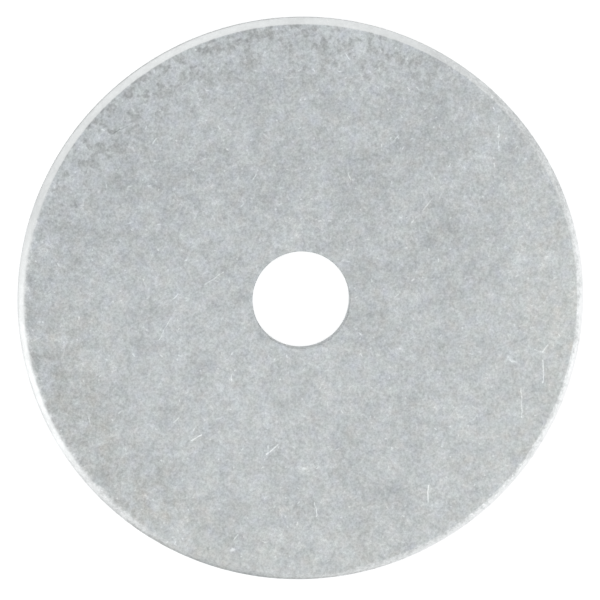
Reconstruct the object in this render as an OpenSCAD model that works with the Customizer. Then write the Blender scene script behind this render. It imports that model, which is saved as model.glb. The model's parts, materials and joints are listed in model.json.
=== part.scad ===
// Large flat washer, also called a fender or penny washer.
//
// It is one piece: a disc punched from steel sheet, with a bolt hole punched
// through its middle, and then zinc plated. It lies on its underside at Z = 0,
// the hole's axis is the Z axis, and the show face looks along +Z.
//
// The die punches the hole first, and then cuts the disc out round it. Each cut
// starts with a soft roll-over, goes on as a smooth upright wall, and ends where
// the last of the steel tears, in a slightly sloping wall and a crisp corner.
// The sheet round a hole rolls over on the punch's side and the disc does so on
// the die's side, so the rim is rolled over on the show face and crisp on the
// underside, and the hole is the other way up.

/* [Washer] */
// Outside diameter of the disc
outer_d = 50.8; // [50:0.1:52]
// Diameter of the bolt hole
hole_d = 8.73; // [8.4:0.01:9.2]
// Thickness of the sheet
thickness = 1.6; // [1.3:0.05:2]

/* [Rim] */
// Width of the roll-over, across the show face
rim_roll_w = 0.6; // [0.3:0.05:0.8]
// Depth of the roll-over, down the rim
rim_roll_h = 0.35; // [0.2:0.05:0.4]
// Height of the torn wall, above the underside
rim_tear_h = 0.6; // [0.4:0.05:0.7]
// How far the torn wall slopes in by the underside
rim_tear_w = 0.06; // [0.02:0.01:0.1]

/* [Hole] */
// Radius of the roll-over, on the underside
hole_roll_r = 0.2; // [0.1:0.05:0.3]
// Depth of the torn wall, below the show face
hole_tear_h = 0.5; // [0.3:0.05:0.7]
// How far the torn wall opens out by the show face
hole_tear_w = 0.03; // [0.01:0.01:0.05]

/* [Crisp corners] */
// Radius that tumbling and plating leave on a crisp corner
corner_r = 0.08; // [0.04:0.01:0.1]

/* [Hidden] */

outer_r = outer_d / 2;
hole_r = hole_d / 2;
roll_steps = 12;   // straight steps that draw a roll-over
corner_steps = 4;  // straight steps that draw a crisp corner
round_fn = 180;    // sides drawn round the washer

// Points along a quarter of an ellipse, anticlockwise from the angle start.
function quarter(centre, width, height, start, steps) =
    [for (i = [0:steps])
        let (a = start + 90 * i / steps)
        centre + [width * cos(a), height * sin(a)]];

// The rim's side of the cross-section, as [radius, height], from the underside up.
function rim_side() = concat(
    quarter([outer_r - rim_tear_w - corner_r, corner_r], corner_r, corner_r, 270, corner_steps),
    [[outer_r, rim_tear_h]],
    quarter([outer_r - rim_roll_w, thickness - rim_roll_h], rim_roll_w, rim_roll_h, 0, roll_steps)
);

// The hole's side of the cross-section, from the show face down.
function hole_side() = concat(
    quarter([hole_r + hole_tear_w + corner_r, thickness - corner_r], corner_r, corner_r, 90, corner_steps),
    [[hole_r, thickness - hole_tear_h]],
    quarter([hole_r + hole_roll_r, hole_roll_r], hole_roll_r, hole_roll_r, 180, roll_steps)
);

module washer() {
    color("#BDC2C3")
        rotate_extrude($fn = round_fn)
            polygon(concat(rim_side(), hole_side()));
}

washer();
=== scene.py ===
import json
import math
from types import SimpleNamespace

import bpy
from mathutils import Matrix, Vector


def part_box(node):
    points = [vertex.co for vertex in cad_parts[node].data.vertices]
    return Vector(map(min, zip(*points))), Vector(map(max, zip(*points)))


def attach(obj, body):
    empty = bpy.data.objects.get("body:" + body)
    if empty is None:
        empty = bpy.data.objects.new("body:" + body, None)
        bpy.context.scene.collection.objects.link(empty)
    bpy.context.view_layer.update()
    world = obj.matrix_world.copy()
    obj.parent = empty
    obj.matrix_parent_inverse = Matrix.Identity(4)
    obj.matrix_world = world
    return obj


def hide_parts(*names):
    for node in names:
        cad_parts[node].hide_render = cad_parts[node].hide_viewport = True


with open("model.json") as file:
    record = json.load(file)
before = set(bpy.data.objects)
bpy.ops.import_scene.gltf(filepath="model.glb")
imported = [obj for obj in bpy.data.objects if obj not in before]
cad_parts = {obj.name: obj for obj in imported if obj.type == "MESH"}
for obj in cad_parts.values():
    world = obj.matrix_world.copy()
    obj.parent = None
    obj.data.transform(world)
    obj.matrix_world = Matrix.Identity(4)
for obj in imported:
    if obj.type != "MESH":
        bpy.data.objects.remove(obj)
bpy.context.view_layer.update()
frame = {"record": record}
mm = 0.001

lowCorner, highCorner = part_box("washer")
rimRadius = (highCorner[0] - lowCorner[0]) / 2 / mm
thickness = (highCorner[2] - lowCorner[2]) / mm
boltHole = next(mount for mount in frame["record"]["mounts"] if mount["name"] == "bolt_hole")
holeRadius = boltHole["dims"]["r_mm"]
print(f"frame loaded: {2 * rimRadius:.1f} mm across, {2 * holeRadius:.2f} mm hole, "
      f"{thickness:.1f} mm thick")


class Wiring:
    # short words for the nodes that both the shape and the finish are built from

    def __init__(self, tree):
        self.tree = tree

    def plug(self, value, socket):
        # an output gets linked, a plain value is typed in
        if isinstance(value, bpy.types.NodeSocket):
            self.tree.links.new(value, socket)
        else:
            socket.default_value = value

    def node(self, kind, inputs=None, **settings):
        made = self.tree.nodes.new(kind)
        for name, value in settings.items():
            setattr(made, name, value)
        for key, value in (inputs or {}).items():
            self.plug(value, made.inputs[key])
        return made

    def math(self, operation, *values):
        return self.node("ShaderNodeMath", dict(enumerate(values)), operation=operation).outputs[0]

    def add(self, first, *others):
        for other in others:
            first = self.math("ADD", first, other)
        return first

    def times(self, first, *others):
        for other in others:
            first = self.math("MULTIPLY", first, other)
        return first

    def minus(self, first, second):
        return self.math("SUBTRACT", first, second)

    def vector(self, operation, *values):
        made = self.node("ShaderNodeVectorMath", dict(enumerate(values)), operation=operation)
        oneNumber = operation in ("LENGTH", "DOT_PRODUCT")
        return made.outputs["Value" if oneNumber else "Vector"]

    def scaled(self, vector, factor):
        made = self.node("ShaderNodeVectorMath", {0: vector, "Scale": factor}, operation="SCALE")
        return made.outputs[0]

    def join(self, x, y, z):
        return self.node("ShaderNodeCombineXYZ", {0: x, 1: y, 2: z}).outputs[0]

    def split(self, vector):
        return self.node("ShaderNodeSeparateXYZ", {0: vector}).outputs[:3]

    def fade(self, value, start, end, low=0.0, high=1.0):
        # a smooth step from low at start to high at end
        inputs = dict(enumerate((value, start, end, low, high)))
        return self.node("ShaderNodeMapRange", inputs, interpolation_type="SMOOTHSTEP").outputs[0]

    def blend(self, first, second, share):
        # from one colour to another, and beyond either where share leaves 0 to 1
        mix = self.node("ShaderNodeMix", {"Factor": share}, data_type="RGBA", clamp_factor=False)
        inputs = [socket for socket in mix.inputs if socket.type == "RGBA"]
        self.plug(first, inputs[0])
        self.plug(second, inputs[1])
        return next(socket for socket in mix.outputs if socket.type == "RGBA")

    def wave(self, where, size, detail=0.0, flat=False):
        # noise with spots of about the given size, centred on 0
        made = self.node("ShaderNodeTexNoise", {"Vector": where, "Scale": 1 / size, "Detail": detail},
                         noise_dimensions="2D" if flat else "3D")
        return self.minus(made.outputs[0], 0.5)


washerShape = {
    "rimRollWidth": 0.60,    # mm, soft edge of the show face
    "rimRollDepth": 0.35,
    "rimRollPower": 1.25,    # 2 is a true ellipse, 1 is a flat chamfer
    "rimTearHeight": 0.60,   # mm, rough lower part of the rim
    "rimTearSlope": 0.06,
    "holeRoll": 0.20,        # mm, soft edge of the hole, on the underside
    "holeTearHeight": 0.50,  # mm, rough upper part of the hole's wall
    "holeTearSlope": 0.03,
    "cornerRadius": 0.08,
    "stepsRound": 600,
    "cornerSteps": 6,
    "rimRollSteps": 16,
    "holeRollSteps": 8,
    "rimWallSteps": 6,
    "holeWallSteps": (6, 8), # on the torn part and below it
    "topRingGap": 0.62,      # mm between rings on the show face
    "underRingGap": 0.95,
    "cornerRingGap": 0.04,   # keeps the flat beside a crisp corner flat
    "ripple": 0.006,         # mm, how far the faces are from dead flat
    "rippleSize": 9.0,       # mm from one to the next
    "nickDepth": 0.06,       # mm, knocks along the rim
    "nickSize": 0.9,         # mm
    "nickReach": 0.55,       # mm, how far they go in from the rim's two edges
    "wornSize": 11.0,        # mm, some stretches of the rim have more of them
    "tearGrain": 0.022,      # mm, roughness of the torn walls
    "tearSize": 0.42,        # mm
    "seed": 7,
}


def quarterTurn(centreR, centreZ, width, height, startDegrees, steps, power=2.0):
    points = []
    for step in range(steps + 1):
        turn = math.radians(startDegrees + 90 * step / steps)
        across, up = math.cos(turn), math.sin(turn)
        across = math.copysign(abs(across) ** (2 / power), across)
        up = math.copysign(abs(up) ** (2 / power), up)
        points.append((centreR + width * across, centreZ + height * up))
    return points


def straightSteps(start, end, steps):
    # the points between start and end, without the two ends
    return [(start[0] + (end[0] - start[0]) * i / steps, start[1] + (end[1] - start[1]) * i / steps)
            for i in range(1, steps)]


def washerSection(shape):
    # radius and height in mm, anticlockwise from the rim's lower corner
    corner, cornerSteps = shape["cornerRadius"], shape["cornerSteps"]
    lowerCorner = quarterTurn(rimRadius - shape["rimTearSlope"] - corner, corner,
                              corner, corner, 270, cornerSteps)
    rimTear = (rimRadius, shape["rimTearHeight"])
    rimRoll = quarterTurn(rimRadius - shape["rimRollWidth"], thickness - shape["rimRollDepth"],
                          shape["rimRollWidth"], shape["rimRollDepth"],
                          0, shape["rimRollSteps"], shape["rimRollPower"])
    upperCorner = quarterTurn(holeRadius + shape["holeTearSlope"] + corner, thickness - corner,
                              corner, corner, 90, cornerSteps)
    holeTear = (holeRadius, thickness - shape["holeTearHeight"])
    holeRoll = quarterTurn(holeRadius + shape["holeRoll"], shape["holeRoll"],
                           shape["holeRoll"], shape["holeRoll"], 180, shape["holeRollSteps"])
    topSteps = round((rimRoll[-1][0] - upperCorner[0][0]) / shape["topRingGap"])
    underSteps = round((lowerCorner[0][0] - holeRoll[-1][0]) / shape["underRingGap"])
    tornSteps, smoothSteps = shape["holeWallSteps"]
    section = list(lowerCorner)
    section += straightSteps(lowerCorner[-1], rimTear, shape["rimWallSteps"]) + [rimTear]
    section += straightSteps(rimTear, rimRoll[0], shape["rimWallSteps"]) + rimRoll
    section += straightSteps(rimRoll[-1], upperCorner[0], topSteps)
    section += [(upperCorner[0][0] + shape["cornerRingGap"], thickness)] + upperCorner
    section += straightSteps(upperCorner[-1], holeTear, tornSteps) + [holeTear]
    section += straightSteps(holeTear, holeRoll[0], smoothSteps) + holeRoll
    section += straightSteps(holeRoll[-1], lowerCorner[0], underSteps)
    section += [(lowerCorner[0][0] - shape["cornerRingGap"], 0.0)]
    return section


def sectionObject(points):
    mesh = bpy.data.meshes.new("washerSection")
    mesh.from_pydata([(r * mm, 0.0, z * mm) for r, z in points], [], [])
    made = bpy.data.objects.new("washerSection", mesh)
    bpy.context.collection.objects.link(made)
    return made


def punchingTree(pointCount, shape):
    # turns the section's points round the hole's axis, then knocks the result about a little
    tree = bpy.data.node_groups.new("punchedWasher", "GeometryNodeTree")
    tree.interface.new_socket("Geometry", in_out="INPUT", socket_type="NodeSocketGeometry")
    for name, kind in (("Section", "Object"), ("Steps Round", "Int"), ("Rim Radius", "Float"),
                       ("Hole Radius", "Float"), ("Thickness", "Float"), ("Ripple", "Float"),
                       ("Nick Depth", "Float"), ("Tear Grain", "Float"), ("Rim Tear Height", "Float"),
                       ("Hole Tear Height", "Float"), ("Seed", "Float"), ("Finish", "Material")):
        tree.interface.new_socket(name, in_out="INPUT", socket_type="NodeSocket" + kind)
    tree.interface.new_socket("Geometry", in_out="OUTPUT", socket_type="NodeSocketGeometry")
    w = Wiring(tree)
    given = w.node("NodeGroupInput").outputs

    # a flat grid: a row of vertices for each point of the section, and one more that closes the ring
    columns = w.add(given["Steps Round"], 1)
    grid = w.node("GeometryNodeMeshGrid", {
        "Vertices X": pointCount + 1, "Vertices Y": columns, "Size X": 1.0, "Size Y": 1.0})
    index = w.node("GeometryNodeInputIndex").outputs[0]
    row = w.math("FLOOR", w.math("DIVIDE", w.add(index, 0.5), columns))
    column = w.minus(index, w.times(row, columns))
    stepRound = w.math("FLOORED_MODULO", column, given["Steps Round"])
    # it turns clockwise, so that the faces look outwards
    turn = w.times(w.math("DIVIDE", stepRound, given["Steps Round"]), -2 * math.pi)

    # where each vertex goes in mm: the section's point, turned round the axis
    section = w.node("GeometryNodeObjectInfo", {"Object": given["Section"]})
    sampled = w.node("GeometryNodeSampleIndex", {
        "Geometry": section.outputs["Geometry"],
        "Index": w.math("FLOORED_MODULO", row, float(pointCount))}, data_type="FLOAT_VECTOR")
    w.plug(w.node("GeometryNodeInputPosition").outputs[0], sampled.inputs["Value"])
    radius, _, height = w.split(w.scaled(sampled.outputs[0], 1 / mm))
    cosTurn, sinTurn = w.math("COSINE", turn), w.math("SINE", turn)
    undented = w.join(w.times(radius, cosTurn), w.times(radius, sinTurn), height)
    # each seed takes its noise from another place
    seedShift = w.join(w.times(given["Seed"], 13.0), w.times(given["Seed"], 5.0), 0.0)
    where = w.vector("ADD", undented, seedShift)

    # the faces ripple slightly, as rolled sheet does
    lift = w.times(w.wave(where, shape["rippleSize"], 1.0), 2.0, given["Ripple"])

    # knocks along the rim's two edges, more of them on one side
    underRim = w.minus(given["Rim Radius"], radius)
    middle = w.times(given["Thickness"], 0.5)
    fromMiddle = w.minus(height, middle)
    toFace = w.minus(middle, w.math("ABSOLUTE", fromMiddle))
    knock = w.fade(w.wave(where, shape["nickSize"], 1.0), 0.10, 0.28)
    worn = w.fade(w.wave(where, shape["wornSize"]), -0.10, 0.15, 0.25, 1.0)
    dent = w.times(knock, worn, w.fade(underRim, shape["nickReach"], 0.0),
                   w.fade(toFace, shape["nickReach"], 0.05), given["Nick Depth"])

    # torn steel, low on the rim and high in the hole
    rimTorn = w.times(w.fade(underRim, 0.20, 0.10),
                      w.fade(w.minus(given["Rim Tear Height"], height), -0.10, 0.12))
    holeTop = w.minus(given["Thickness"], given["Hole Tear Height"])
    holeTorn = w.times(w.fade(w.minus(radius, given["Hole Radius"]), 0.12, 0.05),
                       w.fade(w.minus(height, holeTop), -0.10, 0.12))
    torn = w.times(w.wave(where, shape["tearSize"], 3.0), given["Tear Grain"],
                   w.math("MAXIMUM", rimTorn, holeTorn))

    # dents go in from the side and from the nearer face, torn grain goes along the radius
    newRadius = w.add(radius, w.minus(torn, dent))
    newHeight = w.add(height, w.minus(lift, w.times(dent, w.math("SIGN", fromMiddle))))
    placed = w.scaled(w.join(w.times(newRadius, cosTurn), w.times(newRadius, sinTurn), newHeight), mm)
    moved = w.node("GeometryNodeSetPosition", {"Geometry": grid.outputs["Mesh"], "Position": placed})
    closed = w.node("GeometryNodeMergeByDistance", {"Geometry": moved.outputs[0], "Distance": 0.5e-6})
    smooth = w.node("GeometryNodeSetShadeSmooth", {"Geometry": closed.outputs[0]})
    real = w.node("GeometryNodeRealizeInstances", {"Geometry": smooth.outputs[0]})
    dressed = w.node("GeometryNodeSetMaterial", {
        "Geometry": real.outputs[0], "Material": given["Finish"]})
    w.node("NodeGroupOutput", {0: dressed.outputs[0]})
    return tree


def makeWasher(shape, finish):
    points = washerSection(shape)
    section = sectionObject(points)
    blank = bpy.data.objects.new("washerBlank", bpy.data.meshes.new("washerBlank"))
    bpy.context.collection.objects.link(blank)
    modifier = blank.modifiers.new("Punched Washer", "NODES")
    modifier.node_group = punchingTree(len(points), shape)
    values = {
        "Section": section, "Steps Round": shape["stepsRound"], "Rim Radius": rimRadius,
        "Hole Radius": holeRadius, "Thickness": thickness, "Ripple": shape["ripple"],
        "Nick Depth": shape["nickDepth"], "Tear Grain": shape["tearGrain"],
        "Rim Tear Height": shape["rimTearHeight"], "Hole Tear Height": shape["holeTearHeight"],
        "Seed": float(shape["seed"]), "Finish": finish}
    for item in modifier.node_group.interface.items_tree:
        if item.in_out == "INPUT" and item.name in values:
            modifier[item.identifier] = values[item.name]
    ready = blank.evaluated_get(bpy.context.evaluated_depsgraph_get())
    mesh = bpy.data.meshes.new_from_object(ready)
    mesh.name = "platedWasher"
    piece = bpy.data.objects.new("platedWasher", mesh)
    bpy.context.collection.objects.link(piece)
    for spent in (blank, section):
        bpy.data.objects.remove(spent)
    return piece


zincLook = {
    "zinc": (0.583, 0.606, 0.609),
    "warm": (0.598, 0.609, 0.589),      # the zinc's colour where it has yellowed
    "green": (0.570, 0.612, 0.598),     # a faint tint of the clear coat on the zinc
    "rubbed": (0.690, 0.705, 0.700),    # along the rolled edge
    "paintedShine": (0.930, 0.942, 0.936),  # painted highlight: the colour where the rolled edge shines
    "roughness": 0.42,
    # size of the mottling's spots in mm, and how much each layer lightens and darkens
    "clouds": [(8.0, 0.10), (4.0, 0.11), (2.0, 0.13), (1.0, 0.155), (0.5, 0.21),
               (0.25, 0.275), (0.13, 0.24)],
    "brightTail": 0.7,                  # how much further the light spots go than the dark ones
    "cloudGloss": 0.8,                  # how much smoother they are
    "curls": [(1.3, 0.04), (0.6, 0.03)],    # size in mm and brightness of the thin curls
    "relief": 0.006,                    # mm, height of the fine grain
    "reliefSize": 0.6,
    "apart": 200.0,                     # mm between the two faces' patterns
    "paintedLightDown": 0.035,               # painted light: how much lighter the lower half is, towards -Y
    "paintedLightDownFrom": 12.0,            # mm from the middle, where it is full
    # painted light too: how much lighter the show face gets towards +X
    "paintedLightRight": 0.07,
    "hueWander": 2.2,                   # how far the colour drifts towards warm and back
    "hueSize": 1.3,
    "greenWander": 2.0,                 # and towards green
    "greenSize": 1.1,
    "warmSide": -50.0,                  # degrees, the side where it is warmer all over
    "warmer": 0.22,

    # blotches along the edge: side in degrees, half its width in degrees,
    # radius where they start and where they are full in mm
    "blotchSide": (112.0, 50.0, 18.0, 24.0),
    "blotchSize": 1.3,
    "blotchShade": -0.20,
    "blotchGround": 0.05,               # how much lighter it is between them

    # the rolled edge is smooth on one side, with a painted highlight there: degrees, half the width,
    # how much of the painted highlight
    "smoothSideAndShine": (137.0, 80.0, 0.55),
    "fewerMarks": 0.8,                  # how much of the marks is missing there
    "smoother": 0.10,
    # painted highlights on two more sides, mottled: degrees, half the width, how far down the wall,
    # and how far in from the rim they start and are full, in mm
    "paintedShineSides": [(-35.0, 50.0, 0.1, 0.60, 0.08), (197.0, 36.0, 0.9, 0.95, 0.30)],
    "raggedSize": 0.5,                  # mm, zones of the rim and the walls end at ragged lines
    "raggedness": 0.3,
    "paintedShineRaggedness": 2.5,             # times that, where the painted highlight starts
    # painted shade on another side: degrees, half its width, and half the width of the painted dark
    # line there
    "shadedSide": (-102.0, 18.0, 30.0),
    # how far the rubbed tint is held back there, and how dark the painted line is
    "paintedShadeDepth": 0.7,
    "paintedLineShade": -0.22,

    "wallPaintedShade": -0.13,                 # painted shade down the rim's wall, where no highlight is painted
    "rimTornShade": -0.08,
    "holeTornShade": -0.05,
    "tornEdge": 0.06,                   # mm, how softly the torn steel starts
    "tornSize": 0.16,                   # mm, its grain
    "tornContrast": 0.5,
    "tornRelief": 0.03,
    "tornRougher": 0.12,
    "drawLines": 0.30,                  # the punch's drag lines, down the walls
    "drawLineSize": 0.22,

    # patches where the plating has changed: side in degrees, half its width in degrees,
    # radius where it starts and where it is full in mm, how yellow, how much lighter
    "patches": [
        (213, 30, 18.0, 21.5, 0.50, -0.095),
        (-8, 34, 18.0, 24.5, 0.45, 0.010),
        (252, 16, 20.0, 23.5, 0.45, 0.040),
    ],
    "patchSize": 2.0,                   # mm, they are patchy themselves

    # soft spots in the plating: x and y in mm, reach in mm, how much lighter, how yellow
    "spots": [
        (9.0, -6.0, 5.0, -0.065, -0.15), (-9.5, 11.0, 5.5, -0.040, 0.0),
        (-11.0, 19.0, 4.0, -0.040, 0.0), (-20.0, 10.0, 5.0, 0.050, 0.0),
        (16.5, 16.0, 4.0, 0.045, 0.0), (3.5, 23.5, 4.0, 0.035, -0.1),
        (14.5, 7.5, 5.0, -0.030, 0.0), (8.5, 9.0, 4.5, 0.030, 0.0),
        (-3.0, -9.0, 4.0, 0.040, 0.0), (-1.5, -20.5, 5.0, -0.050, 0.0),
        (7.5, -20.0, 4.5, -0.040, 0.0), (9.5, -15.5, 3.5, 0.040, -0.1),
        (-9.0, -19.5, 3.5, 0.050, 0.0), (-19.5, -3.5, 6.0, 0.035, 0.25),
        (-19.5, -11.0, 6.0, 0.0, 0.25), (23.0, -1.5, 5.0, 0.0, 0.40),
        (6.0, -23.0, 4.0, 0.0, 0.40), (5.0, -3.0, 4.0, -0.020, 0.0),
    ],

    # nicks from tumbling: spacing, length, width and bend in mm, share of cells hit, how bright
    "nicks": [
        (0.9, 0.24, 0.090, 0.02, 0.24, 0.34),
        (1.7, 0.46, 0.085, 0.03, 0.20, 0.38),
        (3.6, 0.95, 0.085, 0.05, 0.16, 0.42),
    ],

    # scratches: from x, y to x, y in mm, width in mm, how bright (below 0 is dark)
    "scratches": [
        (17.7, 15.6, 17.7, 13.3, 0.07, 0.10), (21.0, -4.7, 21.7, -4.9, 0.08, 0.10),
        (21.7, -4.9, 22.2, -4.3, 0.08, 0.10), (18.9, -4.9, 20.3, -4.7, 0.17, 0.05),
        (21.8, -5.6, 21.8, -7.7, 0.08, 0.14), (19.8, -8.1, 19.9, -10.8, 0.08, 0.12),
        (18.7, -5.3, 19.0, -5.7, 0.24, 0.09), (19.0, -5.7, 19.4, -5.8, 0.13, 0.09),
        (11.4, -16.9, 11.4, -18.4, 0.09, 0.18), (-3.2, -13.9, -2.1, -13.1, 0.09, 0.20),
        (1.2, -18.4, 1.4, -19.6, 0.09, 0.16), (-9.9, -12.6, -9.0, -12.1, 0.08, 0.18),
        (-12.8, -3.5, -11.7, -1.5, 0.07, 0.09), (-8.6, 1.5, -7.0, 2.6, 0.07, 0.10),
        (-17.3, 14.9, -15.1, 16.0, 0.05, -0.05), (10.9, 8.0, 11.8, 9.1, 0.07, 0.08),
        (-6.3, -22.6, -6.1, -22.6, 0.22, 0.12), (0.1, -15.3, 0.4, -15.3, 0.20, 0.10),
    ],
    "scratchGain": 4.0,                 # times how bright
    "scratchWobble": 0.25,              # mm, how far they stray from straight
}


def turned(w, where, degrees):
    return w.node("ShaderNodeVectorRotate", {"Vector": where, "Angle": math.radians(degrees)},
                  rotation_type="Z_AXIS").outputs[0]


def mottling(w, where, layers):
    # each layer is turned its own way, so that no grid shows
    total = 0.0
    for number, (size, strength) in enumerate(layers):
        layer = w.wave(turned(w, where, 37 * number + 20), size, flat=True)
        total = w.add(w.times(layer, strength), total)
    return total


def curling(w, where, layers):
    # bright where the noise passes through its middle, which draws thin curls
    total = 0.0
    for number, (size, strength) in enumerate(layers):
        wave = w.math("ABSOLUTE", w.wave(turned(w, where, 53 * number - 31), size, flat=True))
        total = w.add(w.fade(wave, 0.035, 0.0, 0.0, strength), total)
    return total


def facing(w, sideways, degrees, halfWidth, soft=15.0):
    # 1 on the side of the washer that lies that way, and 0 away from it
    aim = (math.cos(math.radians(degrees)), math.sin(math.radians(degrees)), 0.0)
    edge = math.cos(math.radians(halfWidth + soft))
    core = math.cos(math.radians(max(halfWidth - soft, 0)))
    return w.fade(w.vector("DOT_PRODUCT", sideways, aim), edge, core)


def tumbledNicks(w, where, number, spacing, length, width, bend, share, bright):
    # at most one short bent line in each cell, each turned its own way
    shifted = w.vector("ADD", w.scaled(where, 1 / spacing), (9.0 * number, 4.0 * number, 0.0))
    cells = w.node("ShaderNodeTexVoronoi", {"Vector": shifted, "Scale": 1.0},
                   voronoi_dimensions="2D", feature="F1")
    dice = w.node("ShaderNodeSeparateColor", {0: cells.outputs["Color"]}).outputs
    fromMiddle = w.scaled(w.vector("SUBTRACT", shifted, cells.outputs["Position"]), spacing)
    spun = w.node("ShaderNodeVectorRotate", {
        "Vector": fromMiddle, "Angle": w.times(dice[0], 2 * math.pi)}, rotation_type="Z_AXIS")
    along, across, _ = w.split(spun.outputs[0])
    bow = w.times(along, along, bend * 4 / length ** 2)
    offLine = w.math("ABSOLUTE", w.minus(across, bow))
    line = w.times(w.fade(offLine, width, width * 0.2),
                   w.fade(w.math("ABSOLUTE", along), length / 2, length / 5))
    return w.times(line, w.math("LESS_THAN", dice[1], share),
                   w.fade(dice[2], 0.0, 1.0, 0.3, 1.0), bright)


def scratchGroup():
    # how strongly a point lies on the line from Start to End
    group = bpy.data.node_groups.new("scratch", "ShaderNodeTree")
    for name, kind in (("Where", "Vector"), ("Start", "Vector"), ("End", "Vector"), ("Width", "Float")):
        group.interface.new_socket(name, in_out="INPUT", socket_type="NodeSocket" + kind)
    group.interface.new_socket("Line", in_out="OUTPUT", socket_type="NodeSocketFloat")
    w = Wiring(group)
    given = w.node("NodeGroupInput").outputs
    fromStart = w.vector("SUBTRACT", given["Where"], given["Start"])
    whole = w.vector("SUBTRACT", given["End"], given["Start"])
    share = w.math("DIVIDE", w.vector("DOT_PRODUCT", fromStart, whole),
                   w.vector("DOT_PRODUCT", whole, whole))
    nearest = w.scaled(whole, w.node("ShaderNodeClamp", {0: share}).outputs[0])
    distance = w.vector("LENGTH", w.vector("SUBTRACT", fromStart, nearest))
    w.node("NodeGroupOutput", {0: w.fade(distance, given["Width"], w.times(given["Width"], 0.2))})
    return group


def scratching(w, where, look):
    group = scratchGroup()
    wobble = w.node("ShaderNodeTexNoise", {"Vector": where, "Scale": 1.1, "Detail": 2.0},
                    noise_dimensions="2D")
    astray = w.scaled(w.vector("SUBTRACT", wobble.outputs["Color"], (0.5, 0.5, 0.5)),
                      look["scratchWobble"])
    where = w.vector("MULTIPLY", w.vector("ADD", where, astray), (1.0, 1.0, 0.0))
    # the lines are fainter in places
    broken = w.fade(w.wave(where, 0.35, 1.0, flat=True), -0.15, 0.10, 0.5, 1.0)
    total = 0.0
    for fromX, fromY, toX, toY, width, bright in look["scratches"]:
        line = w.tree.nodes.new("ShaderNodeGroup")
        line.node_tree = group
        for name, value in (("Where", where), ("Start", (fromX, fromY, 0.0)),
                            ("End", (toX, toY, 0.0)), ("Width", width)):
            w.plug(value, line.inputs[name])
        total = w.add(w.times(line.outputs[0], bright), total)
    return w.times(total, broken)


def surfaceZones(w, look, shape):
    # where a point of the washer lies, and how far it belongs to each kind of surface
    inMm = w.scaled(w.node("ShaderNodeTexCoord").outputs["Object"], 1 / mm)
    x, y, height = w.split(inMm)
    onPlan = w.join(x, y, 0.0)
    radius = w.vector("LENGTH", onPlan)
    sideways = w.vector("NORMALIZE", onPlan)

    # the mottling goes on down the walls, as if they were folded out flat
    isRim = w.math("GREATER_THAN", radius, (rimRadius + holeRadius) / 2)
    outwards = w.add(w.times(isRim, 2.0), -1.0)
    toFace = w.minus(thickness / 2, w.math("ABSOLUTE", w.minus(height, thickness / 2)))
    foldedOut = w.scaled(sideways, w.add(w.times(toFace, outwards), radius))
    # the underside has a pattern of its own, far from the show face's
    isTop = w.math("GREATER_THAN", height, thickness / 2)
    apart = w.join(w.add(w.times(isTop, -look["apart"]), look["apart"]), 0.0, 0.0)
    where = w.vector("ADD", foldedOut, apart)

    # the rolled edge and the walls, which start softly over about a tenth of a mm
    rollStart = rimRadius - shape["rimRollWidth"]
    roll = w.times(isTop, w.fade(radius, rollStart - 0.05, rollStart + 0.08))
    rimWall = w.fade(radius, rimRadius - 0.12, rimRadius - 0.04)
    holeWall = w.fade(radius, holeRadius + 0.12, holeRadius + 0.05)

    # the torn steel, low on the rim and high in the hole
    ragged = w.times(w.wave(inMm, look["raggedSize"], 2.0), look["raggedness"])
    raggedHeight = w.add(height, ragged)
    tearTop, soft = shape["rimTearHeight"], look["tornEdge"]
    rimTorn = w.times(rimWall, w.fade(raggedHeight, tearTop + soft, tearTop - soft))
    tearFoot = thickness - shape["holeTearHeight"]
    holeTorn = w.times(holeWall, w.fade(raggedHeight, tearFoot - soft, tearFoot + soft))
    torn = w.math("MAXIMUM", rimTorn, holeTorn)
    smoothWall = w.times(w.minus(w.math("MAXIMUM", rimWall, holeWall), torn), w.minus(1.0, roll))

    # the side where the rolled edge is smooth, and the painted highlights there and on two more sides
    rollFoot = thickness - shape["rimRollDepth"]
    justUnderRoll = rollFoot - 0.15
    smoothSideAndShine, smoothHalf, shineShare = look["smoothSideAndShine"]
    smooth = w.times(roll, facing(w, sideways, smoothSideAndShine, smoothHalf),
                     w.fade(raggedHeight, justUnderRoll, rollFoot))
    paintedShine = w.times(smooth, shineShare)
    raggedRadius = w.add(radius, w.times(ragged, look["paintedShineRaggedness"]))
    for side, halfWidth, downWall, starts, full in look["paintedShineSides"]:
        outerRoll = w.fade(raggedRadius, rimRadius - starts, rimRadius - full)
        paintedGlint = w.times(outerRoll, isTop, facing(w, sideways, side, halfWidth),
                        w.fade(raggedHeight, justUnderRoll, rollFoot, downWall, 1.0))
        paintedShine = w.math("MAXIMUM", paintedShine, paintedGlint)

    # painted shade down the rim's wall where no highlight is painted
    shadedWall = w.times(rimWall, w.fade(raggedHeight, rollFoot, justUnderRoll),
                       w.minus(1.0, paintedShine))
    # painted shade on one side of the edge, and a painted dark line along the edge there
    shadedSide, shadedHalf, lineHalf = look["shadedSide"]
    shadedEdge = facing(w, sideways, shadedSide, shadedHalf)
    paintedShadeLine = w.times(w.fade(w.add(radius, ragged), rimRadius - 0.26, rimRadius - 0.10), isTop,
                       facing(w, sideways, shadedSide, lineHalf))
    return SimpleNamespace(
        inMm=inMm, x=x, y=y, onPlan=onPlan, radius=radius, sideways=sideways, isTop=isTop, where=where,
        roll=roll, rimTorn=rimTorn, holeTorn=holeTorn, torn=torn, smoothWall=smoothWall, smooth=smooth,
        rough=w.minus(1.0, w.times(smooth, look["fewerMarks"])), paintedShine=paintedShine,
        shadedWall=shadedWall, shadedEdge=shadedEdge, paintedShadeLine=paintedShadeLine)


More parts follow.
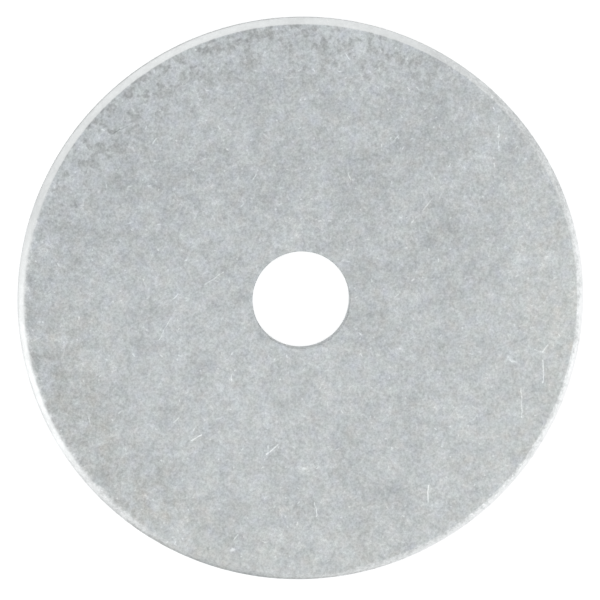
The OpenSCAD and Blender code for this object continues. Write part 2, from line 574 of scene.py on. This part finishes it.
def blotching(w, look, at):
    # dark blotches on lighter ground, along one side of the edge
    side, halfWidth, starts, full = look["blotchSide"]
    area = w.times(at.isTop, facing(w, at.sideways, side, halfWidth),
                   w.fade(at.radius, starts, full), at.rough)
    cloud = w.add(w.wave(at.where, look["blotchSize"], 1.0, flat=True),
                  w.times(w.wave(at.where, 0.4, flat=True), 0.5))
    blotches = w.times(w.fade(cloud, -0.02, 0.16), area, look["blotchShade"])
    return w.add(w.times(area, look["blotchGround"]), blotches)


def stains(w, look, at):
    # how much the patches and the soft spots lighten the zinc, and how much they yellow it
    warmTurn = math.radians(look["warmSide"])
    warmAim = (math.cos(warmTurn), math.sin(warmTurn), 0.0)
    warmth = w.times(w.vector("DOT_PRODUCT", at.onPlan, warmAim), at.isTop,
                     look["warmer"] / rimRadius)
    yellow = w.add(w.times(w.wave(at.where, look["hueSize"], 3.0, flat=True), look["hueWander"]),
                   warmth)
    lighter = 0.0
    patchCloud = w.fade(w.wave(at.where, look["patchSize"], 2.0, flat=True), -0.12, 0.09)
    for side, halfWidth, starts, full, howYellow, howLight in look["patches"]:
        patch = w.times(at.isTop, facing(w, at.sideways, side, halfWidth),
                        w.fade(at.radius, starts, full), patchCloud)
        yellow = w.add(w.times(patch, howYellow), yellow)
        lighter = w.add(w.times(patch, howLight), lighter)
    for spotX, spotY, reach, howLight, howYellow in look["spots"]:
        away = w.vector("LENGTH", w.vector("SUBTRACT", at.onPlan, (spotX, spotY, 0.0)))
        spot = w.times(w.fade(away, reach, reach * 0.1), at.isTop)
        lighter = w.add(w.times(spot, howLight), lighter)
        yellow = w.add(w.times(spot, howYellow), yellow)
    return lighter, yellow


def zincFinish(look, shape):
    finish = bpy.data.materials.new("zincPlate")
    finish.use_nodes = True
    finish.node_tree.nodes.clear()
    w = Wiring(finish.node_tree)
    at = surfaceZones(w, look, shape)

    # marks, and painted light and shade, each as a share of the zinc's own brightness
    clouds = mottling(w, at.where, look["clouds"])
    mottle = w.times(w.add(w.times(clouds, clouds, look["brightTail"]), clouds,
                           curling(w, at.where, look["curls"])), at.rough)
    nicks = 0.0
    for number, size in enumerate(look["nicks"]):
        nicks = w.add(tumbledNicks(w, at.where, number, *size), nicks)
    nicks = w.times(nicks, at.rough)
    lines = w.times(scratching(w, at.onPlan, look), at.isTop, look["scratchGain"])
    # painted light: the show face lighter towards -Y and towards +X, as if lit from the lower right
    down, toRight = look["paintedLightDownFrom"], w.times(at.x, 1 / rimRadius)
    paintedLightFall = w.times(w.add(w.fade(at.y, down, -down, -look["paintedLightDown"], look["paintedLightDown"]),
                          w.times(toRight, toRight, toRight, look["paintedLightRight"])), at.isTop)
    blotches = blotching(w, look, at)
    lighter, yellow = stains(w, look, at)
    drawLines = w.times(w.wave(at.onPlan, look["drawLineSize"], 1.0, flat=True), at.smoothWall,
                        look["drawLines"])
    tornGrain = w.times(w.wave(at.inMm, look["tornSize"], 2.0), at.torn)
    shade = w.add(w.times(tornGrain, look["tornContrast"]), 1.0, mottle, nicks, lines, paintedLightFall,
                  blotches, lighter, drawLines, w.times(at.paintedShadeLine, look["paintedLineShade"]),
                  w.times(at.shadedWall, look["wallPaintedShade"]), w.times(at.rimTorn, look["rimTornShade"]),
                  w.times(at.holeTorn, look["holeTornShade"]))

    tint = w.blend((*look["zinc"], 1.0), (*look["warm"], 1.0), yellow)
    greenish = w.times(w.wave(turned(w, at.where, 70), look["greenSize"], 3.0, flat=True),
                       look["greenWander"])
    tint = w.blend(tint, (*look["green"], 1.0), greenish)
    # the rubbed edge's lighter tint, held back on the shaded side as painted shade
    rubbed = w.times(at.roll, w.minus(1.0, w.times(at.shadedEdge, look["paintedShadeDepth"])))
    tint = w.blend(tint, (*look["rubbed"], 1.0), rubbed)
    # painted highlight on the rolled edge: its colour lifted towards near white
    tint = w.blend(tint, (*look["paintedShine"], 1.0), at.paintedShine)
    colour = w.scaled(tint, shade)

    # light marks are smoother, torn steel is rougher
    roughness = w.add(w.times(mottle, -look["cloudGloss"]), look["roughness"],
                      w.times(at.smooth, -look["smoother"]), w.times(nicks, -1.0),
                      w.times(lines, -1.0), w.times(at.torn, look["tornRougher"]))
    heightMap = w.add(w.times(w.wave(at.where, look["reliefSize"], 3.0, flat=True), at.rough,
                              look["relief"]),
                      w.times(tornGrain, look["tornRelief"]))
    bump = w.node("ShaderNodeBump", {"Strength": 1.0, "Distance": mm, "Height": heightMap})
    shader = w.node("ShaderNodeBsdfPrincipled", {
        "Base Color": colour, "Metallic": 1.0, "Roughness": roughness, "Normal": bump.outputs[0]})
    w.node("ShaderNodeOutputMaterial", {"Surface": shader.outputs[0]})
    return finish


washer = makeWasher(washerShape, zincFinish(zincLook, washerShape))
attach(washer, "root")
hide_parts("washer")
print(f"washer made: {len(washer.data.polygons)} faces")


studio = {
    "frameWidth": 53.75,       # mm of the show face that the camera sees
    "aim": (-0.13, 0.02),      # mm, where it looks on the show face
    "lens": 450.0,             # mm
    "sensor": 36.0,            # mm
    "lean": 8.5,               # degrees between the view and the hole's axis
    "leanTowards": 118.0,      # degrees anticlockwise from +X
    "tableSize": 1.5,          # m, half the table's side
    "tableGap": 0.05,          # mm, the table lies just under the washer
    "tableTone": 0.75,
    "tableGlow": 0.20,         # the table is lit from below
    "whiteOut": 0.35,          # and overexposed to the camera
    "skyColour": (0.99, 1.00, 1.01),
    "skyLight": 0.89,          # overhead
    "skyZone": (0.88, 0.60),   # sine of the height above the horizon, full and gone
    "horizonLight": 0.92,      # lower down
    "frontLight": 0.76,        # and low in front
    "frontZone": (-0.95, -0.35),    # along Y, full and gone
}

# softboxes: degrees round from +X, degrees up, side in m, distance in m, brightness over the sky's
softboxes = {
    "upperLeft": (125, 36, 0.60, 0.60, 0.12),
    "left": (205, 30, 0.40, 0.60, 0.35),
    "right": (-35, 32, 0.40, 0.60, 0.16),
}


def aimAt(thing, target):
    direction = Vector(target) - thing.location
    thing.rotation_euler = direction.to_track_quat("-Z", "Y").to_euler()


def makeTable(look):
    half, drop = look["tableSize"], -look["tableGap"] * mm
    corners = [(-half, -half, drop), (half, -half, drop), (half, half, drop), (-half, half, drop)]
    mesh = bpy.data.meshes.new("table")
    mesh.from_pydata(corners, [], [(0, 1, 2, 3)])
    table = bpy.data.objects.new("table", mesh)
    bpy.context.collection.objects.link(table)
    paint = bpy.data.materials.new("paleTable")
    paint.use_nodes = True
    paint.node_tree.nodes.clear()
    w = Wiring(paint.node_tree)
    tone = look["tableTone"]
    seenDirectly = w.node("ShaderNodeLightPath").outputs["Is Camera Ray"]
    surface = w.node("ShaderNodeBsdfDiffuse", {"Color": (tone, tone, tone, 1.0)})
    strength = w.add(w.times(seenDirectly, look["whiteOut"]), look["tableGlow"])
    glow = w.node("ShaderNodeEmission", {"Strength": strength})
    both = w.node("ShaderNodeAddShader", {0: surface.outputs[0], 1: glow.outputs[0]})
    w.node("ShaderNodeOutputMaterial", {"Surface": both.outputs[0]})
    mesh.materials.append(paint)


def makeSky(look):
    world = bpy.data.worlds.new("studioSky")
    bpy.context.scene.world = world
    world.use_nodes = True
    world.node_tree.nodes.clear()
    w = Wiring(world.node_tree)
    direction = w.node("ShaderNodeTexCoord").outputs["Generated"]
    _, ahead, rise = w.split(direction)
    frontFull, frontGone = look["frontZone"]
    lowLight = w.fade(ahead, frontFull, frontGone, look["frontLight"], look["horizonLight"])
    skyFull, skyGone = look["skyZone"]
    brightness = w.fade(rise, skyFull, skyGone, look["skyLight"], lowLight)
    lighting = w.node("ShaderNodeBackground", {
        "Color": (*look["skyColour"], 1.0), "Strength": brightness})
    backdrop = w.node("ShaderNodeBackground", {"Color": (1.0, 1.0, 1.0, 1.0), "Strength": 1.0})
    seenDirectly = w.node("ShaderNodeLightPath").outputs["Is Camera Ray"]
    mixed = w.node("ShaderNodeMixShader", {
        0: seenDirectly, 1: lighting.outputs[0], 2: backdrop.outputs[0]})
    w.node("ShaderNodeOutputWorld", {"Surface": mixed.outputs[0]})


def makeSoftbox(name, turnDegrees, riseDegrees, side, distance, brightness):
    light = bpy.data.lights.new(name, "AREA")
    light.shape = "SQUARE"
    light.size = side
    light.energy = brightness * math.pi * side * side
    box = bpy.data.objects.new(name, light)
    bpy.context.collection.objects.link(box)
    turn, rise = math.radians(turnDegrees), math.radians(riseDegrees)
    box.location = (distance * math.cos(rise) * math.cos(turn),
                    distance * math.cos(rise) * math.sin(turn), distance * math.sin(rise))
    aimAt(box, (0, 0, 0))
    box.visible_camera = False


def makeCamera(look):
    data = bpy.data.cameras.new("benchCamera")
    data.lens = look["lens"]
    data.sensor_width = look["sensor"]
    camera = bpy.data.objects.new("benchCamera", data)
    bpy.context.collection.objects.link(camera)
    lean, turn = math.radians(look["lean"]), math.radians(look["leanTowards"])
    distance = look["frameWidth"] * mm * look["lens"] / look["sensor"]
    back = Vector((math.sin(lean) * math.cos(turn), math.sin(lean) * math.sin(turn), math.cos(lean)))
    target = Vector((look["aim"][0], look["aim"][1], thickness)) * mm
    right = Vector((0, 1, 0)).cross(back).normalized()   # the camera's top is towards +Y
    up = back.cross(right)
    camera.location = target + back * distance
    camera.rotation_euler = Matrix((right, up, back)).transposed().to_euler()
    bpy.context.scene.camera = camera


makeTable(studio)
makeSky(studio)
for name, box in softboxes.items():
    makeSoftbox(name, *box)
makeCamera(studio)
bpy.context.scene.view_settings.view_transform = "Standard"
print("studio ready")
